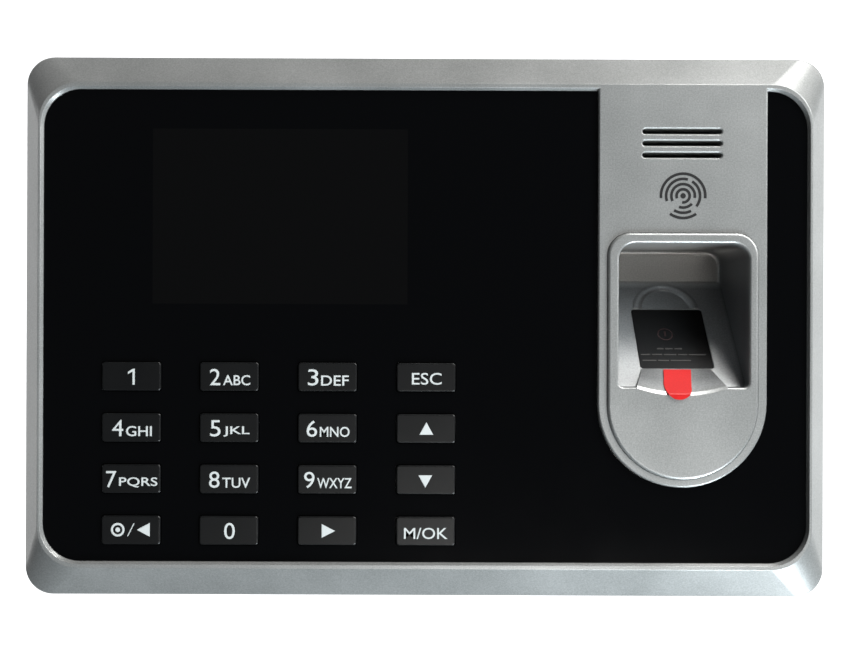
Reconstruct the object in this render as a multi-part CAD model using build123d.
"""Wall-mounted fingerprint scanner terminal.

Frame: the origin is the middle of the wall plate's back face, which lies on the wall.
+X is to the right seen from the front, +Z is up and the front faces -Y. Sizes in mm.
"""
import os
from math import cos, hypot, pi, sin

from build123d import *

# ---- driving dimensions ----
BODY_W = 188.4
BODY_H = 126.4
SILL = 0.5  # how much further the front cover reaches down than up
CREST_Y = -40.0  # frontmost ridge of the frame
PANEL_Y = -39.0  # face of the black panel
PANEL_T = 1.5
TAPE_T = 0.2
WALL_T = 2.0
BEVEL_Y = -34.0  # where the outer bevel of the frame ends
PARTING_Y = -20.0  # joint between front and rear covers
REAR_Y = -1.6  # rim of the rear cover, clear of the wall

PANEL_X = 88.25  # half width of the panel
PANEL_Z0 = -54.6
PANEL_Z1 = 54.4
PANEL_R = 8.5

KEY_W = 13.6
KEY_H = 6.65
KEY_XS = (-67.8, -45.2, -22.5, 0.3)
KEY_ZS = (-11.9, -23.75, -35.6, -47.45)
KEY_PROUD = 0.55
KEY_GAP = 0.2
KEY_NAMES = (
    ("key_1", "key_2", "key_3", "key_esc"),
    ("key_4", "key_5", "key_6", "key_up"),
    ("key_7", "key_8", "key_9", "key_down"),
    ("key_power", "key_0", "key_right", "key_ok"),
)

LCD_X = -33.6
LCD_Z = 25.2

TONGUE_X = 59.4
TONGUE_R = 19.5
TONGUE_Z = -17.6  # centre of the tongue's round end
SLOT_X = 59.2
SLOT_ZS = (45.1, 42.35, 39.6)
SLOT_W = 18.35
SLOT_H = 1.2

RING_X = 59.45  # sensor surround
RING_R = 17.35
RING_Z = -17.85
RING_TOP = 21.6
RING_Y = -40.7
LEDGE_Y = -37.9  # seat of the surround in the front cover
POCKET_X0 = 44.6
POCKET_X1 = 74.7
POCKET_Z0 = -13.95
POCKET_Z1 = 19.3
POCKET_Y = -16.0  # back wall of the finger pocket
SHELL_T = 1.6
RAMP_FOOT = (-37.5, -13.6)  # Y, Z
RAMP_HEAD = (-16.0, 11.5)
RAMP_T = 3.0
PLATEN_W = 17.3
PLATEN_L = 18.5
PLATEN_S = 18.5 / 2 + 5.0  # platen centre, measured up the slope from its foot
PLATEN_SINK = 0.25

PLATE_X = 70.0  # wall plate, half width and half height
PLATE_Z = 46.0
PLATE_T = 1.2
HOOK_X = 45.0
HOOK_Z = 30.0
HOOK_W = 10.0
WALL_HOLE_X = 62.0
WALL_HOLE_Z = 38.0
WALL_HOLE_R = 2.2
LOCK_Y = -12.0
LOCK_SEAT_Z = -58.6
LOCK_TAB_Z = -50.2
BAY = (-56.0, -14.0, -52.0, -25.0)  # cable bay X and Z limits
CASE_SCREWS = [(x, z) for x in (-85.5, 85.5) for z in (-54.5, 54.5)]
BOARD_Y = -22.0  # front face of the main board
BOARD_T = 1.6
BOARD_HOLES = ((-75.0, 50.0), (31.0, 50.0), (-75.0, -17.0), (31.0, -17.0), (-22.0, 50.0))
KEY_BOARD_HOLES = ((-56.5, -17.8), (-11.1, -17.8), (-56.5, -41.5), (-11.1, -41.5))
LCD_BOARD_HOLES = ((-71.0, 0.8), (3.8, 0.8), (-71.0, 49.6), (3.8, 49.6))
SPEAKER_Z = 41.0
STRAP_HOLES = ((39.6, SPEAKER_Z), (78.8, SPEAKER_Z))
USB_X = 45.0
USB_BOARD_HOLES = ((36.4, -50.0), (53.6, -50.0))
RING_SCREWS = ((50.5, -25.0), (68.4, -25.0))

# ---- derived levels ----
PANEL_BACK = PANEL_Y + PANEL_T
FLOOR_Y = PANEL_BACK + TAPE_T
INNER_Y = FLOOR_Y + WALL_T
KEY_FLANGE_Y = INNER_Y + 0.1
MAT_Y = INNER_Y + 1.9
KEY_BOARD_Y = INNER_Y + 2.7
LCD_BOARD_Y = INNER_Y + 4.1
BOARD_BACK = BOARD_Y + BOARD_T
REAR_INNER = REAR_Y - 2.4
RECESS_Y = REAR_Y - 3.0
PAD_Y = RECESS_Y - 2.0

os.makedirs("parts", exist_ok=True)


def save(name, solid):
    """Write one sub-part."""
    solid.label = name
    export_step(solid, f"parts/{name}.step")


def rrect(x0, x1, z0, z1, r):
    """Rounded rectangle, drawn in X and Z."""
    return Pos((x0 + x1) / 2, (z0 + z1) / 2) * RectangleRounded(x1 - x0, z1 - z0, r)


def rect(x0, x1, z0, z1):
    """Plain rectangle, drawn in X and Z."""
    return Pos((x0 + x1) / 2, (z0 + z1) / 2) * Rectangle(x1 - x0, z1 - z0)


def facing(y):
    """Plane at depth y whose sketch axes are X and Z and whose normal is the front."""
    return Plane(origin=(0, y, 0), x_dir=(1, 0, 0), z_dir=(0, -1, 0))


def slab(sketch, y0, y1):
    """Extrude a sketch drawn in X and Z between the depths y0 (front) and y1 (back)."""
    return extrude(facing(y1) * sketch, amount=y1 - y0)


def block(x0, x1, y0, y1, z0, z1):
    """Box given by its limits."""
    middle = ((x0 + x1) / 2, (y0 + y1) / 2, (z0 + z1) / 2)
    return Pos(*middle) * Box(x1 - x0, y1 - y0, z1 - z0)


def rod_y(x, z, r, y0, y1):
    """Cylinder along Y."""
    return slab(Pos(x, z) * Circle(r), y0, y1)


def rod_z(x, y, r, z0, z1):
    """Cylinder along Z."""
    return Pos(x, y, (z0 + z1) / 2) * Cylinder(r, z1 - z0)


def group(items):
    """One node made of several separate solids."""
    return Compound(children=list(items))


def pan_screw(x, z, y_seat, length, r=1.0, towards=-1):
    """Small pan-head screw along Y with a cross recess; towards is the way its tip points."""
    head_r = 1.9 * r
    head_h = 1.3 * r
    y_tip = y_seat + towards * length
    y_top = y_seat - towards * head_h
    shank = rod_y(x, z, r, min(y_seat, y_tip), max(y_seat, y_tip))
    head = rod_y(x, z, head_r, min(y_seat, y_top), max(y_seat, y_top))
    head = fillet(head.edges().filter_by(GeomType.CIRCLE).sort_by(Axis.Y)[-1 if towards < 0 else 0], 0.35 * r)
    y_cut = y_top + towards * 0.7 * head_h
    y_out = y_top - towards * 0.2
    for w, h in ((1.9 * r, 0.45 * r), (0.45 * r, 1.9 * r)):
        head -= slab(Pos(x, z) * Rectangle(w, h), min(y_cut, y_out), max(y_cut, y_out))
    return head + shank


def slope_plane(s, out=0.0):
    """Plane on the pocket's slope, s up from its foot and out mm above its surface.

    Its sketch axes are X and up the slope; its normal leaves the surface.
    """
    y0, z0 = RAMP_FOOT
    origin = (RING_X + 0.2, y0 + s * UY - out * UZ, z0 + s * UZ + out * UY)
    return Plane(origin=origin, x_dir=(1, 0, 0), z_dir=(0, -UZ, UY))


RAMP_LENGTH = hypot(RAMP_HEAD[0] - RAMP_FOOT[0], RAMP_HEAD[1] - RAMP_FOOT[1])
UY = (RAMP_HEAD[0] - RAMP_FOOT[0]) / RAMP_LENGTH
UZ = (RAMP_HEAD[1] - RAMP_FOOT[1]) / RAMP_LENGTH


def on_slope(sketch, s, out0, out1):
    """Extrude a sketch drawn on the slope between two heights over its surface."""
    return extrude(slope_plane(s, out0) * sketch, amount=out1 - out0)


def tongue_outline(grow, top):
    """Round-ended outline of the raised tongue, grown outwards, up to the height top."""
    r = TONGUE_R + grow
    return rect(TONGUE_X - r, TONGUE_X + r, TONGUE_Z, top) + Pos(TONGUE_X, TONGUE_Z) * Circle(r)


def ring_outline(grow):
    """Outline of the sensor surround, grown outwards."""
    r = RING_R + grow
    top = rrect(RING_X - r, RING_X + r, RING_Z - 12, RING_TOP + grow, 5.2 + grow)
    top = top & rect(RING_X - r, RING_X + r, RING_Z, RING_TOP + grow + 1)
    return top + Pos(RING_X, RING_Z) * Circle(r)


def pocket_outline(grow):
    """Mouth of the finger pocket, grown outwards, with larger top corners than bottom ones."""
    x0, x1 = POCKET_X0 - grow, POCKET_X1 + grow
    z0, z1 = POCKET_Z0 - grow, POCKET_Z1 + grow
    upper = rrect(x0, x1, z0, z1, 3.8 + grow) & rect(x0, x1, z0 + 8, z1)
    lower = rrect(x0, x1, z0, z1, 1.2 + grow) & rect(x0, x1, z0, z0 + 8)
    return upper + lower


def lead(points, r, bend):
    """Round cable along a line of points with rounded bends."""
    path = FilletPolyline(*points, radius=bend)
    section = Plane(origin=path @ 0, z_dir=path % 0) * Circle(r)
    return sweep(section, path)


def ribbon(points, x0, x1, t, bend):
    """Flat ribbon t thick, drawn in Y and Z and as wide as x0 to x1."""
    path = FilletPolyline(*points, radius=bend)
    strip = trace(path, line_width=t)
    plane = Plane(origin=(x0, 0, 0), x_dir=(0, 1, 0), z_dir=(1, 0, 0))
    return extrude(plane * strip, amount=x1 - x0)


# ---- front cover ----
half_w = BODY_W / 2
half_h = BODY_H / 2
crest = rrect(-PANEL_X - 1.1, PANEL_X + 1.1, PANEL_Z0 - 1.5, PANEL_Z1 + 1.5, PANEL_R + 0.8)
silhouette = rrect(-half_w, half_w, -half_h - SILL, half_h, 6.5)
front_cover = loft([facing(CREST_Y) * crest, facing(BEVEL_Y) * silhouette], ruled=True)
front_cover += slab(silhouette, BEVEL_Y, PARTING_Y)
shoulder = [edge for edge in front_cover.edges() if abs(edge.center().Y - BEVEL_Y) < 0.01]
front_cover = fillet(shoulder, 0.6)
hollow_face = rrect(-half_w + 5.5, half_w - 5.5, -half_h + 6.5, half_h - 6.5, 5.0)
hollow = rrect(-half_w + 2.4, half_w - 2.4, -half_h + 2.4, half_h - 2.4, 4.1)
front_cover -= loft([facing(INNER_Y) * hollow_face, facing(-32.0) * hollow], ruled=True)
front_cover -= slab(hollow, -32.0, PARTING_Y + 1)
# recess of the panel with a bevelled inner edge
seat = rrect(-PANEL_X - 0.15, PANEL_X + 0.15, PANEL_Z0 - 0.15, PANEL_Z1 + 0.15, PANEL_R + 0.15)
lip = rrect(-PANEL_X - 0.55, PANEL_X + 0.55, PANEL_Z0 - 0.6, PANEL_Z1 + 0.6, PANEL_R + 0.5)
recess = slab(seat, PANEL_Y - 0.001, FLOOR_Y)
recess += loft([facing(CREST_Y - 0.001) * lip, facing(PANEL_Y) * seat], ruled=True)
front_cover -= recess
# raised tongue that comes through the panel
tongue = slab(tongue_outline(0, PANEL_Z1 + 1.3), CREST_Y, INNER_Y)
tongue = chamfer(tongue.faces().sort_by(Axis.Y)[0].edges().filter_by(GeomType.LINE, reverse=True), 0.3)
front_cover += tongue
# seat and opening of the sensor surround
front_cover -= slab(ring_outline(0.12), CREST_Y - 1, LEDGE_Y)
front_cover -= slab(pocket_outline(SHELL_T + 0.2), LEDGE_Y - 1, INNER_Y + 1)
for x, z in RING_SCREWS:
    front_cover -= rod_y(x, z, 1.15, LEDGE_Y - 1, INNER_Y + 1)
# sound slots
for z in SLOT_ZS:
    sound_slot = Pos(SLOT_X, z) * SlotOverall(SLOT_W, SLOT_H)
    front_cover -= slab(sound_slot, CREST_Y - 1, INNER_Y + 1)
    flare = Pos(SLOT_X, z) * SlotOverall(SLOT_W + 0.5, SLOT_H + 0.5)
    front_cover -= loft([facing(CREST_Y - 0.001) * flare, facing(CREST_Y + 0.3) * sound_slot])
# display window and key holes
window = rrect(LCD_X - 31, LCD_X + 31, LCD_Z - 21.5, LCD_Z + 21.5, 1.0)
front_cover -= slab(window, FLOOR_Y - 0.1, INNER_Y + 0.1)
for z in KEY_ZS:
    for x in KEY_XS:
        hole = Pos(x, z) * RectangleRounded(KEY_W + 2 * KEY_GAP, KEY_H + 2 * KEY_GAP, 0.9)
        front_cover -= slab(hole, FLOOR_Y - 0.1, INNER_Y + 0.1)
# screw posts
for x, z in CASE_SCREWS:
    front_cover += rod_y(x, z, 3.4, INNER_Y, PARTING_Y)
    front_cover -= rod_y(x, z, 1.3, -32.0, PARTING_Y + 0.1)
for holes, back in (
    (KEY_BOARD_HOLES, KEY_BOARD_Y),
    (LCD_BOARD_HOLES, LCD_BOARD_Y),
    (STRAP_HOLES, -30.4),
):
    for x, z in holes:
        front_cover += rod_y(x, z, 2.4, INNER_Y, back)
        front_cover -= rod_y(x, z, 0.85, INNER_Y - 1.2, back + 0.1)
# ring wall that centres the speaker
front_cover += rod_y(SLOT_X, SPEAKER_Z, 16.2, INNER_Y, -31.5) - rod_y(SLOT_X, SPEAKER_Z, 14.9, INNER_Y - 0.1, -31.4)
save("front_cover", front_cover)

# ---- front panel and its tape ----
panel = rrect(-PANEL_X, PANEL_X, PANEL_Z0, PANEL_Z1, PANEL_R) - tongue_outline(0.2, PANEL_Z1 + 5)
for z in KEY_ZS:
    for x in KEY_XS:
        panel -= Pos(x, z) * RectangleRounded(KEY_W + 2 * KEY_GAP, KEY_H + 2 * KEY_GAP, 0.9)
save("front_panel", slab(panel, PANEL_Y, PANEL_BACK))
tape = rrect(-PANEL_X + 0.6, PANEL_X - 0.6, PANEL_Z0 + 0.6, PANEL_Z1 - 0.6, PANEL_R - 0.6)
tape -= tongue_outline(1.2, PANEL_Z1 + 5)
tape -= rrect(LCD_X - 32, LCD_X + 32, LCD_Z - 22.5, LCD_Z + 22.5, 1.5)
tape -= rrect(KEY_XS[0] - 9, KEY_XS[3] + 9, KEY_ZS[3] - 5, KEY_ZS[0] + 5, 1.5)
save("panel_tape", slab(tape, PANEL_BACK, FLOOR_Y))

# ---- key caps ----
for row, z in zip(KEY_NAMES, KEY_ZS):
    for name, x in zip(row, KEY_XS):
        cap = slab(Pos(x, z) * RectangleRounded(KEY_W, KEY_H, 0.7), PANEL_Y - KEY_PROUD, KEY_FLANGE_Y)
        cap = fillet(cap.faces().sort_by(Axis.Y)[0].edges(), 0.3)
        cap += slab(Pos(x, z) * RectangleRounded(KEY_W + 1.6, KEY_H + 1.6, 0.8), KEY_FLANGE_Y, MAT_Y - 1.0)
        save(name, cap)

# ---- silicone mat with a dome behind every key ----
mat = slab(rrect(-77.0, 9.5, -53.6, -5.8, 2.0), MAT_Y, KEY_BOARD_Y)
for x, z in KEY_BOARD_HOLES:
    mat -= rod_y(x, z, 2.7, MAT_Y - 0.1, KEY_BOARD_Y + 0.1)
for z in KEY_ZS:
    for x in KEY_XS:
        skirt = Pos(x, z) * RectangleRounded(9.0, 5.6, 2.0)
        crown = Pos(x, z) * RectangleRounded(6.0, 3.6, 1.2)
        mat += loft([facing(MAT_Y + 0.1) * skirt, facing(MAT_Y - 0.4) * crown])
        mat += slab(crown, MAT_Y - 1.0, MAT_Y - 0.3)
        mat -= slab(Pos(x, z) * RectangleRounded(5.2, 3.0, 1.0), MAT_Y - 0.2, KEY_BOARD_Y + 0.1)
save("keypad_mat", mat)
key_board = rrect(-78.0, 12.5, -55.0, -4.6, 1.5)
for x, z in KEY_BOARD_HOLES:
    key_board -= Pos(x, z) * Circle(1.1)
save("keypad_board", slab(key_board, KEY_BOARD_Y, KEY_BOARD_Y + 1.2))

# ---- display ----
gasket = rrect(LCD_X - 34.5, LCD_X + 34.5, LCD_Z - 25, LCD_Z + 25, 1.0)
gasket -= rrect(LCD_X - 31, LCD_X + 31, LCD_Z - 21.5, LCD_Z + 21.5, 1.0)
save("display_gasket", slab(gasket, INNER_Y, INNER_Y + 0.5))
glass = slab(rrect(LCD_X - 34.2, LCD_X + 34.2, LCD_Z - 24.5, LCD_Z + 24.5, 0.4), INNER_Y + 0.5, INNER_Y + 1.9)
glass_step = rrect(LCD_X - 30.8, LCD_X + 30.8, LCD_Z - 21.3, LCD_Z + 21.3, 0.9)
glass += slab(glass_step, INNER_Y + 0.3, INNER_Y + 0.5)
save("display_glass", glass)
tray = slab(rrect(LCD_X - 34.6, LCD_X + 34.6, LCD_Z - 25, LCD_Z + 25, 1.0), INNER_Y + 1.9, LCD_BOARD_Y)
tray -= slab(rrect(LCD_X - 31.6, LCD_X + 31.6, LCD_Z - 22, LCD_Z + 22, 1.0), INNER_Y + 1.8, INNER_Y + 2.3)
save("display_backlight", tray)
lcd_board = rrect(LCD_X - 40.5, LCD_X + 40.5, LCD_Z - 27, LCD_Z + 27, 1.5)
for x, z in LCD_BOARD_HOLES:
    lcd_board -= Pos(x, z) * Circle(1.1)
save("display_board", slab(lcd_board, LCD_BOARD_Y, LCD_BOARD_Y + 1.2))

# ---- sensor surround with the finger pocket ----
BED_HEAD = slope_plane(PLATEN_S - PLATEN_L / 2 - 0.1).origin
BED_X = 59.2
LIP_Z = -13.85
LIP_SAG = 1.75


def bed_section(y, half, z_side, z_middle, over):
    """Section of the finger bed at depth y, between its dished surface and a level over or under it."""
    x0, x1 = BED_X - half, BED_X + half
    line = ThreePointArc((x0, z_side), (BED_X, z_middle), (x1, z_side))
    line += Polyline((x1, z_side), (x1, z_side + over), (x0, z_side + over), (x0, z_side))
    return facing(y) * make_face(line)


def finger_bed(over_head, over_lip):
    """Solid between the bed's surface and a level over it, or under it if negative."""
    head = bed_section(BED_HEAD.Y, 8.1, BED_HEAD.Z, BED_HEAD.Z - 0.05, over_head)
    return loft([head, bed_section(RING_Y, 10.5, LIP_Z, LIP_Z - LIP_SAG, over_lip)], ruled=True)


surround = slab(ring_outline(0), RING_Y, LEDGE_Y)
surround = fillet(surround.faces().sort_by(Axis.Y)[0].edges(), 0.65)
shell = slab(pocket_outline(SHELL_T), LEDGE_Y - 0.1, POCKET_Y + 1.8)
shell -= on_slope(Pos(0, 10) * Rectangle(60, 90), 0, -60, -RAMP_T)
surround += shell
mouth = slab(pocket_outline(0), RING_Y - 1, POCKET_Y)
mouth &= on_slope(Pos(0, 10) * Rectangle(60, 90), 0, 0, 60)
rear_edges = [edge for edge in mouth.edges() if edge.center().Y > POCKET_Y - 0.01]
rear_edges = [edge for edge in rear_edges if edge.center().Z > RAMP_HEAD[1] + 0.5]
mouth = fillet(rear_edges, 0.9)
surround -= mouth
front_face = surround.faces().sort_by(Axis.Y)[0]
surround = fillet(front_face.inner_wires()[0].edges(), 0.5)
# bed for the finger below the platen: flat at its head, dished at the lip on the front face
surround += finger_bed(-1.6, -3.2)
surround -= finger_bed(3.0, 4.5)
lip_back = bed_section(RING_Y + 0.55, 10.3, LIP_Z + 0.35, LIP_Z - LIP_SAG + 0.5, 4.0)
lip_front = bed_section(RING_Y - 0.05, 10.75, LIP_Z - 0.25, LIP_Z - LIP_SAG - 0.4, 4.0)
surround -= loft([lip_back, lip_front], ruled=True)
# window for the platen and the hollow for the fingertip above it, with its raised rim
surround -= on_slope(RectangleRounded(PLATEN_W + 0.2, PLATEN_L + 0.2, 0.8), PLATEN_S, -RAMP_T - 0.1, 0.1)
hollow_top = PLATEN_S + PLATEN_L / 2
nail = Ellipse(6.5, 7.4) & rect(-8, 8, 0.4, 8)
surround -= on_slope(nail, hollow_top, -0.45, 0.5)
rim_plane = slope_plane(hollow_top, -1.58)
rim_path = rim_plane * Spline(*((7.3 * cos(pi * i / 12), 8.0 * sin(pi * i / 12)) for i in range(13)))
rim = sweep(Plane(origin=rim_path @ 0, z_dir=rim_path % 0) * Circle(1.8), rim_path)
surround += rim & on_slope(rect(-12, 12, 0.3, 12), hollow_top, -1.0, 3.0)
for x, z in RING_SCREWS:
    surround -= rod_y(x, z, 0.8, LEDGE_Y - 1.9, LEDGE_Y + 0.1)
for x in (-12.6, 12.6):
    for s in (-8.5, 8.5):
        surround -= on_slope(Pos(x, s) * Circle(0.8), PLATEN_S, -RAMP_T - 0.1, -1.0)
save("sensor_surround", surround)

# ---- optical sensor behind the slope ----
platen = on_slope(RectangleRounded(PLATEN_W, PLATEN_L, 0.7), PLATEN_S, -PLATEN_SINK - 1.5, -PLATEN_SINK)
save("sensor_platen", platen)
prism = on_slope(Rectangle(PLATEN_W - 0.6, PLATEN_L - 0.6), PLATEN_S, -12.0, -PLATEN_SINK - 1.5)
prism -= on_slope(Pos(0, 9) * Rectangle(30, 8), PLATEN_S, -12.1, -8.0)
save("sensor_prism", prism)
housing = on_slope(Rectangle(21.0, 22.6), PLATEN_S, -16.5, -RAMP_T)
housing += on_slope(RectangleRounded(29.6, 21.0, 2.0), PLATEN_S, -RAMP_T - 1.8, -RAMP_T)
housing -= on_slope(Rectangle(PLATEN_W - 0.4, PLATEN_L - 0.4), PLATEN_S, -12.1, -RAMP_T + 0.1)
housing -= on_slope(Rectangle(12.0, 12.0), PLATEN_S, -16.6, -12.0)
for x in (-12.6, 12.6):
    for s in (-8.5, 8.5):
        housing -= on_slope(Pos(x, s) * Circle(1.1), PLATEN_S, -RAMP_T - 2, -RAMP_T + 0.1)
save("sensor_housing", housing)
camera = on_slope(Rectangle(8.0, 8.0), PLATEN_S, -16.5, -14.6)
camera += on_slope(Circle(3.2), PLATEN_S, -14.6, -12.6)
save("sensor_camera", camera)
sensor_board = on_slope(Rectangle(21.0, 22.0), PLATEN_S, -17.7, -16.5)
sensor_board += on_slope(Pos(0, -6.5) * Rectangle(9.0, 4.0), PLATEN_S, -20.7, -17.7)
save("sensor_board", sensor_board)


def slope_screw(x, s, seat_out, length):
    """Small screw driven up into the slope from behind."""
    shank = on_slope(Pos(x, s) * Circle(0.78), PLATEN_S, seat_out, seat_out + length)
    head = on_slope(Pos(x, s) * Circle(1.6), PLATEN_S, seat_out - 1.1, seat_out)
    for w, h in ((1.9, 0.45), (0.45, 1.9)):
        head -= on_slope(Pos(x, s) * Rectangle(w, h), PLATEN_S, seat_out - 1.3, seat_out - 0.5)
    return shank + head


slope_screws = [slope_screw(x, s, -RAMP_T - 1.8, 3.5) for x in (-12.6, 12.6) for s in (-8.5, 8.5)]
save("sensor_screws", group(slope_screws))

# ---- protective film and its pull tab ----
film = on_slope(RectangleRounded(PLATEN_W, PLATEN_L, 0.7), PLATEN_S, -PLATEN_SINK, -PLATEN_SINK + 0.12)
save("platen_film", film)
tab_path = [
    (BED_HEAD.Y - 0.55, BED_HEAD.Z - 0.22),
    (RING_Y - 0.35, LIP_Z - LIP_SAG + 0.1),
    (RING_Y - 0.35, -17.0),
]
tab = ribbon(tab_path, 54.0, 64.0, 0.16, 0.5)
tab_outline = make_face(Polyline((56.4, -9.0), (62.9, -9.0), (61.7, -13.8), (55.4, -13.8), close=True))
tab &= slab(tab_outline + Pos(58.55, -13.6) * Circle(3.15), RING_Y - 2, BED_HEAD.Y + 2)
save("film_tab", tab)

# ---- speaker ----
save("speaker_cloth", rod_y(SLOT_X, SPEAKER_Z, 14.6, INNER_Y, INNER_Y + 0.3))
speaker_gasket = rod_y(SLOT_X, SPEAKER_Z, 14.4, INNER_Y + 0.3, -34.0)
speaker_gasket -= rod_y(SLOT_X, SPEAKER_Z, 12.0, INNER_Y, -33.9)
save("speaker_gasket", speaker_gasket)
speaker = rod_y(SLOT_X, SPEAKER_Z, 14.0, -34.0, -32.6) + rod_y(SLOT_X, SPEAKER_Z, 11.6, -32.6, -30.4)
speaker += rod_y(SLOT_X, SPEAKER_Z, 7.0, -30.4, -27.4)
speaker -= rod_y(SLOT_X, SPEAKER_Z, 11.2, -34.1, -33.6)
save("speaker", speaker)
strap = RectangleRounded(44.6, 9.0, 3.0) + Circle(9.2) - Circle(7.3)
for x, _ in STRAP_HOLES:
    strap -= Pos(x - SLOT_X, 0) * Circle(1.1)
save("speaker_strap", slab(Pos(SLOT_X, SPEAKER_Z) * strap, -30.4, -29.4))

# ---- main board ----
board = rrect(-79.0, 35.0, -21.0, 54.0, 2.0)
for x, z in BOARD_HOLES:
    board -= Pos(x, z) * Circle(1.6)
save("main_board", slab(board, BOARD_Y, BOARD_BACK))
CHIPS = (
    (-50.0, 18.0, 17.0, 17.0, 1.6),
    (-28.0, 22.0, 14.0, 9.0, 1.2),
    (-28.0, 9.0, 14.0, 9.0, 1.2),
    (-40.0, -8.0, 9.0, 9.0, 1.2),
    (-8.0, 30.0, 12.0, 18.0, 1.2),
    (-62.0, 42.0, 6.0, 5.0, 1.6),
    (12.0, 34.0, 5.0, 6.0, 1.5),
    (-66.0, 2.0, 8.0, 8.0, 4.0),
)
save(
    "board_chips",
    group(
        slab(Pos(x, z) * RectangleRounded(w, h, 0.4), BOARD_Y - t, BOARD_Y) for x, z, w, h, t in CHIPS
    ),
)
CAPACITORS = ((-72.0, 34.0), (-72.0, 25.0), (-56.0, -12.0), (2.0, 44.0), (28.0, 22.0))
cans = []
for x, z in CAPACITORS:
    can = rod_y(x, z, 3.15, BOARD_Y - 5.6, BOARD_Y)
    cans.append(fillet(can.edges().filter_by(GeomType.CIRCLE).sort_by(Axis.Y)[0], 0.4))
save("board_capacitors", group(cans))
CONNECTORS = (
    (29.0, 36.0, 6.0, 9.0, 4.2),
    (29.0, -6.0, 6.0, 12.0, 4.2),
    (20.0, -16.0, 12.0, 6.0, 4.2),
    (-40.0, 47.0, 24.0, 4.0, 2.0),
    (-8.0, -14.5, 22.0, 4.0, 2.0),
)
save(
    "board_connectors",
    group(slab(Pos(x, z) * Rectangle(w, h), BOARD_Y - t, BOARD_Y) for x, z, w, h, t in CONNECTORS),
)
cell_x, cell_z = 12.0, 14.0
holder = rod_y(cell_x, cell_z, 11.4, BOARD_Y - 4.2, BOARD_Y)
holder -= rod_y(cell_x, cell_z, 10.2, BOARD_Y - 4.3, BOARD_Y - 0.8)
holder -= block(cell_x - 6, cell_x + 6, BOARD_Y - 4.3, BOARD_Y - 2.0, cell_z - 12, cell_z)
save("coin_cell_holder", holder)
cell = rod_y(cell_x, cell_z, 10.0, BOARD_Y - 4.0, BOARD_Y - 0.8)
save("coin_cell", fillet(cell.edges().filter_by(GeomType.CIRCLE), 0.3))

# ---- sockets ----
jack = block(-38, -22, BOARD_BACK, BOARD_BACK + 13.4, -25.0, -4.0)
jack -= block(-36, -24, BOARD_BACK + 4.6, BOARD_BACK + 11.6, -26, -12)
jack -= block(-33, -27, BOARD_BACK + 1.8, BOARD_BACK + 5.0, -26, -14)
for i in range(8):
    x = -30 + (i - 3.5) * 1.02
    jack += block(x - 0.22, x + 0.22, BOARD_BACK + 10.2, BOARD_BACK + 11.7, -24.0, -11.9)
save("ethernet_socket", jack)
dc = block(-52.5, -43.5, BOARD_BACK, BOARD_BACK + 11.0, -25.0, -11.0)
dc -= rod_z(-48.0, BOARD_BACK + 6.0, 3.2, -26, -15.5)
dc += rod_z(-48.0, BOARD_BACK + 6.0, 1.0, -24.0, -15.4)
save("dc_socket", dc)
usb = block(USB_X - 6.6, USB_X + 6.6, -17.6, -11.8, -61.6, -47.4)
usb -= block(USB_X - 6.25, USB_X + 6.25, -17.25, -12.15, -62, -50.0)
usb += block(USB_X - 5.6, USB_X + 5.6, -14.3, -12.3, -60.8, -49.9)
save("usb_socket", usb)
usb_board = slab(rrect(USB_X - 11, USB_X + 11, -58.0, -40.0, 1.0), -11.8, -10.6)
for x, z in USB_BOARD_HOLES:
    usb_board -= rod_y(x, z, 1.1, -12, -10)
usb_board += block(USB_X - 5, USB_X + 5, -15.8, -11.8, -46.4, -42.0)
save("usb_board", usb_board)

# ---- leads and ribbons ----
display_path = [(-29.9, 40.0), (-28.6, 40.0), (-28.6, 53.0), (-24.4, 53.0), (-24.4, 47.0), (-24.1, 47.0)]
save("display_ribbon", ribbon(display_path, -50, -30, 0.2, 0.1))
keypad_path = [(-31.3, -20.0), (-30.2, -20.0), (-30.2, -26.0), (-24.4, -26.0), (-24.4, -14.5), (-24.1, -14.5)]
save("keypad_ribbon", ribbon(keypad_path, -18, 2, 0.2, 0.1))
speaker_points = [
    (66.2, -30.4, 33.5),
    (66.2, -27.0, 33.5),
    (66.2, -27.0, 26.0),
    (37.0, -27.0, 26.0),
    (37.0, -24.0, 36.0),
    (32.0, -24.0, 36.0),
]
save("speaker_lead", lead(speaker_points, 0.8, 1.4))
plug = slope_plane(PLATEN_S - 6.5, -20.7).origin
sensor_points = [
    (plug.X, plug.Y, plug.Z),
    (plug.X, plug.Y + 2.2, plug.Z - 1.9),
    (plug.X, plug.Y + 2.2, -30.0),
    (38.0, -24.0, -30.0),
    (38.0, -24.0, -6.0),
    (32.0, -24.0, -6.0),
]
save("sensor_lead", lead(sensor_points, 1.1, 1.6))
usb_points = [(USB_X - 5.0, -13.8, -44.2), (30.0, -13.8, -44.2), (22.0, -24.0, -36.0), (22.0, -24.0, -19.0)]
save("usb_lead", lead(usb_points, 1.1, 2.0))

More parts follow.
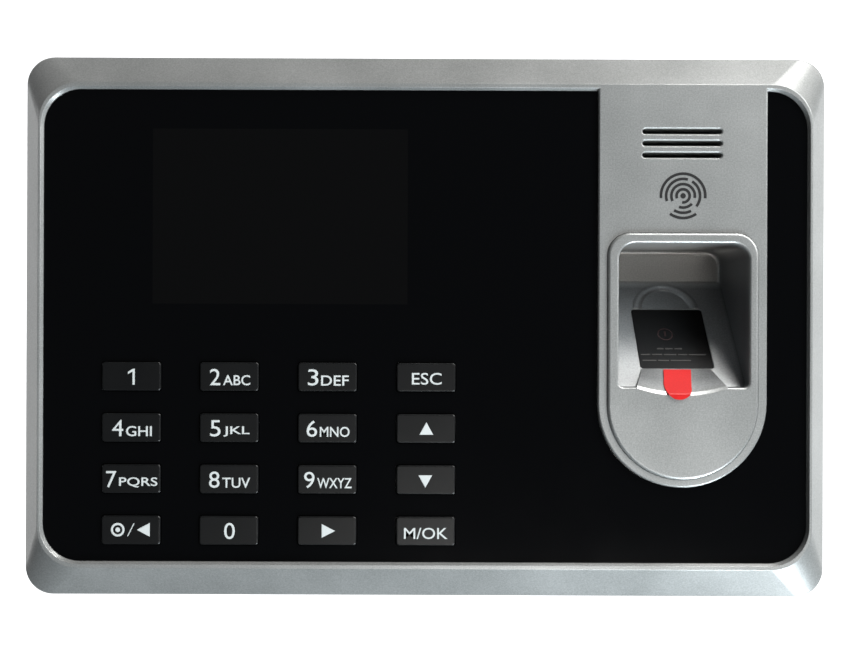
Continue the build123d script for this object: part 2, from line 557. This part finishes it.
# ---- rear cover ----
rear_front = rrect(-half_w + 0.4, half_w - 0.4, -half_h + 0.4, half_h - 0.4, 6.2)
rear_back = rrect(-half_w + 3.0, half_w - 3.0, -half_h + 3.0, half_h - 3.0, 5.5)
rear_rim = rrect(-half_w + 3.8, half_w - 3.8, -half_h + 3.8, half_h - 3.8, 4.7)
rear_sections = [facing(PARTING_Y) * rear_front, facing(REAR_Y - 1.0) * rear_back, facing(REAR_Y) * rear_rim]
rear = loft(rear_sections, ruled=True)
cave_front = rrect(-half_w + 2.7, half_w - 2.7, -half_h + 2.7, half_h - 2.7, 4.0)
cave_back = rrect(-half_w + 5.2, half_w - 5.2, -half_h + 5.2, half_h - 5.2, 3.5)
rear -= loft([facing(PARTING_Y - 0.001) * cave_front, facing(REAR_INNER) * cave_back], ruled=True)
rear += block(-76, 76, PAD_Y, REAR_INNER + 0.1, -55.5, 52)
rear -= slab(rrect(-74, 74, -53.5, 50, 3.0), RECESS_Y, 0)
# cable bay with the way out at the bottom
bay_x0, bay_x1, bay_z0, bay_z1 = BAY
rear += block(bay_x0 - 2, bay_x1 + 2, PARTING_Y - 2, RECESS_Y - 0.1, bay_z0 - 2, bay_z1 + 2)
rear += block(-43, -27, -12, REAR_INNER + 0.1, -60.0, bay_z0)
rear -= block(bay_x0, bay_x1, PARTING_Y, 0, bay_z0, bay_z1)
rear -= block(-41, -29, -10, 0, -64, bay_z0 + 1)
rear -= block(-38.2, -21.8, BOARD_BACK - 0.2, BOARD_BACK + 13.6, bay_z1 - 1, bay_z1 + 3)
rear -= block(-52.7, -43.3, BOARD_BACK - 0.2, BOARD_BACK + 11.2, bay_z1 - 1, bay_z1 + 3)
# hook slots, lock tab slot and lock screw seat
for x in (-HOOK_X, HOOK_X):
    rear -= block(x - 6, x + 6, PAD_Y - 0.1, 0, HOOK_Z + PLATE_T - 8, HOOK_Z + PLATE_T)
rear -= block(-9, 9, PAD_Y - 0.1, 0, -57.2, -46.8)
rear += rod_z(0, LOCK_Y, 5.5, LOCK_SEAT_Z - 1.2, LOCK_SEAT_Z + 1.8)
rear -= rod_z(0, LOCK_Y, 4.0, -64, LOCK_SEAT_Z)
rear -= rod_z(0, LOCK_Y, 1.9, -64, LOCK_SEAT_Z + 3)
# usb opening
rear -= block(USB_X - 6.9, USB_X + 6.9, -17.9, -11.5, -64, -58.5)
# screw towers
for x, z in CASE_SCREWS:
    rear += rod_y(x, z, 4.4, PARTING_Y, REAR_INNER + 0.5)
for x, z in CASE_SCREWS:
    rear -= rod_y(x, z, 3.2, LOCK_Y, 0)
    rear -= rod_y(x, z, 1.7, PARTING_Y - 0.1, LOCK_Y + 0.1)
for x, z in BOARD_HOLES:
    rear += rod_y(x, z, 3.0, BOARD_BACK, PAD_Y + 0.5)
    rear -= rod_y(x, z, 1.1, BOARD_BACK - 0.1, BOARD_BACK + 8)
for x, z in USB_BOARD_HOLES:
    rear += rod_y(x, z, 2.6, -10.6, PAD_Y + 0.5)
    rear -= rod_y(x, z, 0.85, -10.7, -6.9)
save("rear_cover", rear)

# ---- wall plate of bent sheet steel ----
plate = rrect(-PLATE_X, PLATE_X, -PLATE_Z, PLATE_Z, 6.0)
plate -= rrect(bay_x0 + 2, bay_x1 - 2, -40.0, -12.0, 2.0)
plate -= Pos(24, -4) * RectangleRounded(32.0, 40.0, 3.0)
for x in (-WALL_HOLE_X, WALL_HOLE_X):
    for z in (-WALL_HOLE_Z, WALL_HOLE_Z):
        plate -= Pos(x, z) * Circle(WALL_HOLE_R)
for x in (-HOOK_X, HOOK_X):
    plate -= rect(x - HOOK_W / 2 - 0.6, x + HOOK_W / 2 + 0.6, HOOK_Z - 12.0, HOOK_Z)
plate += rrect(-7, 7, LOCK_TAB_Z, -PLATE_Z + 4, 0.5)
wall_plate = slab(plate, -PLATE_T, 0)
for x in (-HOOK_X, HOOK_X):
    x0, x1 = x - HOOK_W / 2, x + HOOK_W / 2
    wall_plate += block(x0, x1, PAD_Y - 1.6, -PLATE_T + 0.1, HOOK_Z, HOOK_Z + PLATE_T)
    wall_plate += block(x0, x1, PAD_Y - 1.6, PAD_Y - 0.4, HOOK_Z, HOOK_Z + PLATE_T + 4.8)
wall_plate += block(-7, 7, -16.5, -PLATE_T + 0.1, LOCK_TAB_Z, LOCK_TAB_Z + 1.5)
wall_plate -= rod_z(0, LOCK_Y, 1.55, LOCK_TAB_Z - 1, LOCK_TAB_Z + 3)
save("wall_plate", wall_plate)

# ---- screws ----
washer = rod_z(0, LOCK_Y, 3.5, LOCK_SEAT_Z - 0.6, LOCK_SEAT_Z)
washer -= rod_z(0, LOCK_Y, 1.55, LOCK_SEAT_Z - 1, LOCK_SEAT_Z + 1)
save("lock_washer", washer)
lock_screw = rod_z(0, LOCK_Y, 2.8, LOCK_SEAT_Z - 2.7, LOCK_SEAT_Z - 0.6)
lock_screw = fillet(lock_screw.edges().filter_by(GeomType.CIRCLE).sort_by(Axis.Z)[0], 0.5)
lock_screw -= Pos(0, LOCK_Y, LOCK_SEAT_Z - 2.2) * Cylinder(1.3, 1.4)
lock_screw += Pos(0, LOCK_Y, LOCK_SEAT_Z - 2.1) * Cylinder(0.35, 1.2)
lock_screw += rod_z(0, LOCK_Y, 1.48, LOCK_SEAT_Z - 0.7, LOCK_SEAT_Z + 12.0)
save("lock_screw", lock_screw)
save("case_screws", group(pan_screw(x, z, LOCK_Y, 15.0, 1.25) for x, z in CASE_SCREWS))
board_screws = [pan_screw(x, z, BOARD_Y, 6.0, 1.05, towards=1) for x, z in BOARD_HOLES]
save("main_board_screws", group(board_screws))
small_screws = [pan_screw(x, z, KEY_BOARD_Y + 1.2, 4.4, 0.8) for x, z in KEY_BOARD_HOLES]
small_screws += [pan_screw(x, z, LCD_BOARD_Y + 1.2, 4.4, 0.8) for x, z in LCD_BOARD_HOLES]
small_screws += [pan_screw(x, z, -29.4, 4.4, 0.8) for x, z in STRAP_HOLES]
small_screws += [pan_screw(x, z, INNER_Y, 4.4, 0.8) for x, z in RING_SCREWS]
small_screws += [pan_screw(x, z, -11.8, 4.4, 0.8, towards=1) for x, z in USB_BOARD_HOLES]
save("board_screws", group(small_screws))
